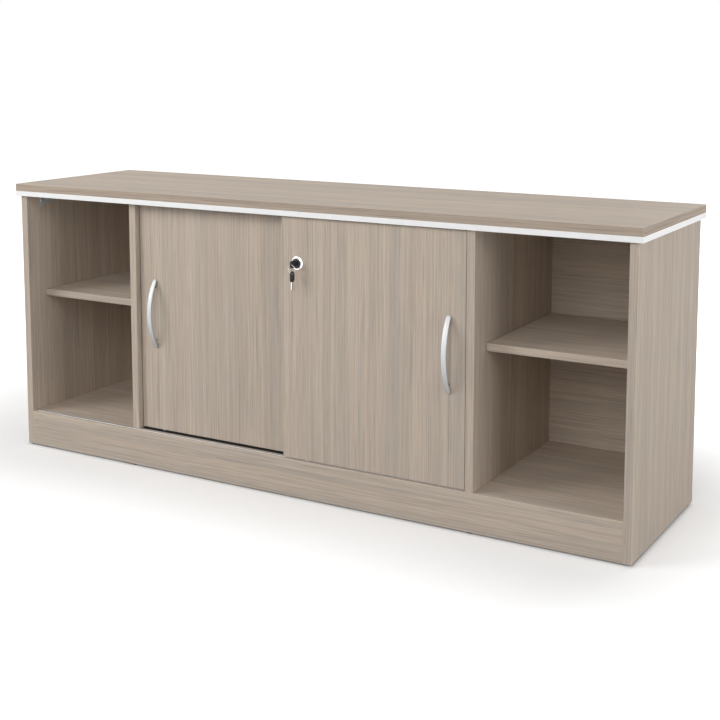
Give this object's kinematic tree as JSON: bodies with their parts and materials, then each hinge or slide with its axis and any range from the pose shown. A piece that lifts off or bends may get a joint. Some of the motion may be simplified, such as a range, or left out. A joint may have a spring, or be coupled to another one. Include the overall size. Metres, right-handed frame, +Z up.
{
  "type": "office credenza",
  "caption": "Low office credenza: open shelved bays at both ends, a closed middle bay behind sliding doors with bow handles and a push lock, two-layer top.",
  "frame": {"origin": "middle of the whole piece on the floor, bow handle included in the depth", "axes": "+X along the width to the right as seen from the front, +Y from the doors to the back, +Z up"},
  "size_m": [1.6, 0.449, 0.665],
  "materials": {
    "laminate_upright": "matt taupe linear-grain laminate on chipboard, grain upright",
    "laminate_level": "matt taupe linear-grain laminate on chipboard, grain along the width",
    "white_laminate": "satin white laminate on chipboard",
    "raw_board": "bare chipboard",
    "aluminium": "satin brushed, anodised",
    "chrome": "polished",
    "key_steel": "nickel plated, stamped",
    "zinc_steel": "zinc plated",
    "black_plastic": "matt black, moulded",
    "grey_plastic": "translucent grey, moulded",
    "nylon": "natural white nylon",
    "beech": "plain beech dowel"
  },
  "bodies": {
    "carcass": {"top_board": "laminate_level", "under_board": "white_laminate", "bottom_board": "laminate_level", "front_plinth": "laminate_level", "rear_plinth": "laminate_level", "plinth_cross_rails": "raw_board", "left_side_panel": "laminate_upright", "right_side_panel": "laminate_upright", "left_divider": "laminate_upright", "right_divider": "laminate_upright", "back_panel": "laminate_level", "left_shelf": "laminate_level", "centre_shelf": "laminate_level", "right_shelf": "laminate_level", "shelf_pins": "zinc_steel", "corner_brackets": "grey_plastic", "bracket_screws": "zinc_steel", "back_screws": "zinc_steel", "dowels": "beech", "cam_discs": "zinc_steel", "cam_bolts": "zinc_steel", "floor_glides": "black_plastic", "front_rail": "aluminium", "rear_track": "black_plastic", "front_top_track": "black_plastic", "rear_top_track": "black_plastic"},
    "front_door": {"front_door": "laminate_upright", "front_handle": "aluminium", "front_handle_screws": "zinc_steel", "front_roller_housings": "black_plastic", "front_roller_axles": "zinc_steel", "front_top_guides": "black_plastic", "front_door_bumpers": "nylon", "lock_rosette": "chrome", "lock_case": "chrome", "lock_nut": "zinc_steel"},
    "rear_door": {"rear_door": "laminate_upright", "rear_handle": "aluminium", "rear_handle_screws": "zinc_steel", "rear_roller_housings": "black_plastic", "rear_roller_axles": "zinc_steel", "rear_top_guides": "black_plastic", "rear_door_bumpers": "nylon", "strike_plate": "zinc_steel"},
    "lock_plunger": {"lock_plunger": "chrome", "lock_face": "black_plastic"},
    "lock_plug": {"lock_plug": "black_plastic"},
    "key": {"key_blade": "key_steel", "key_head": "black_plastic"},
    "spare_keys": {"key_ring": "key_steel", "spare_key_blade": "key_steel", "spare_key_head": "black_plastic"},
    "front_left_wheel": {"front_left_wheel": "nylon"},
    "front_right_wheel": {"front_right_wheel": "nylon"},
    "rear_left_wheel": {"rear_left_wheel": "nylon"},
    "rear_right_wheel": {"rear_right_wheel": "nylon"}
  },
  "joints": [
    {"name": "front_door_slide", "type": "slide", "parent": "carcass", "child": "front_door", "axis": [1, 0, 0], "range_m": [-0.365, 0]},
    {"name": "rear_door_slide", "type": "slide", "parent": "carcass", "child": "rear_door", "axis": [1, 0, 0], "range_m": [0, 0.365]},
    {"name": "front_left_wheel_roll", "type": "hinge", "parent": "front_door", "child": "front_left_wheel", "pos_m": [0.044, -0.1875, 0.1008], "axis": [0, 1, 0], "range_deg": [-1902, 0]},
    {"name": "front_right_wheel_roll", "type": "hinge", "parent": "front_door", "child": "front_right_wheel", "pos_m": [0.371, -0.1875, 0.1008], "axis": [0, 1, 0], "range_deg": [-1902, 0]},
    {"name": "rear_left_wheel_roll", "type": "hinge", "parent": "rear_door", "child": "rear_left_wheel", "pos_m": [-0.377, -0.1615, 0.1008], "axis": [0, 1, 0], "range_deg": [0, 1902]},
    {"name": "rear_right_wheel_roll", "type": "hinge", "parent": "rear_door", "child": "rear_right_wheel", "pos_m": [-0.001, -0.1615, 0.1008], "axis": [0, 1, 0], "range_deg": [0, 1902]},
    {"name": "lock_push", "type": "slide", "parent": "front_door", "child": "lock_plunger", "axis": [0, 1, 0], "range_m": [0, 0.0045], "stiffness_N_per_m": 300},
    {"name": "key_turn", "type": "hinge", "parent": "lock_plunger", "child": "lock_plug", "pos_m": [0.024, -0.1955, 0.532], "axis": [0, 1, 0], "range_deg": [0, 45]},
    {"name": "key_pull", "type": "slide", "parent": "lock_plug", "child": "key", "axis": [0, -1, 0], "range_m": [0, 0.02]},
    {"name": "spare_key_swing", "type": "hinge", "parent": "key", "child": "spare_keys", "pos_m": [0.024, -0.219, 0.531], "axis": [0, 1, 0], "range_deg": [-20, 20]}
  ],
  "couplings": [
    {"joint": "front_left_wheel_roll", "follows": "front_door_slide", "rad_per_m": 90.909},
    {"joint": "front_right_wheel_roll", "follows": "front_door_slide", "rad_per_m": 90.909},
    {"joint": "rear_left_wheel_roll", "follows": "rear_door_slide", "rad_per_m": 90.909},
    {"joint": "rear_right_wheel_roll", "follows": "rear_door_slide", "rad_per_m": 90.909}
  ]
}
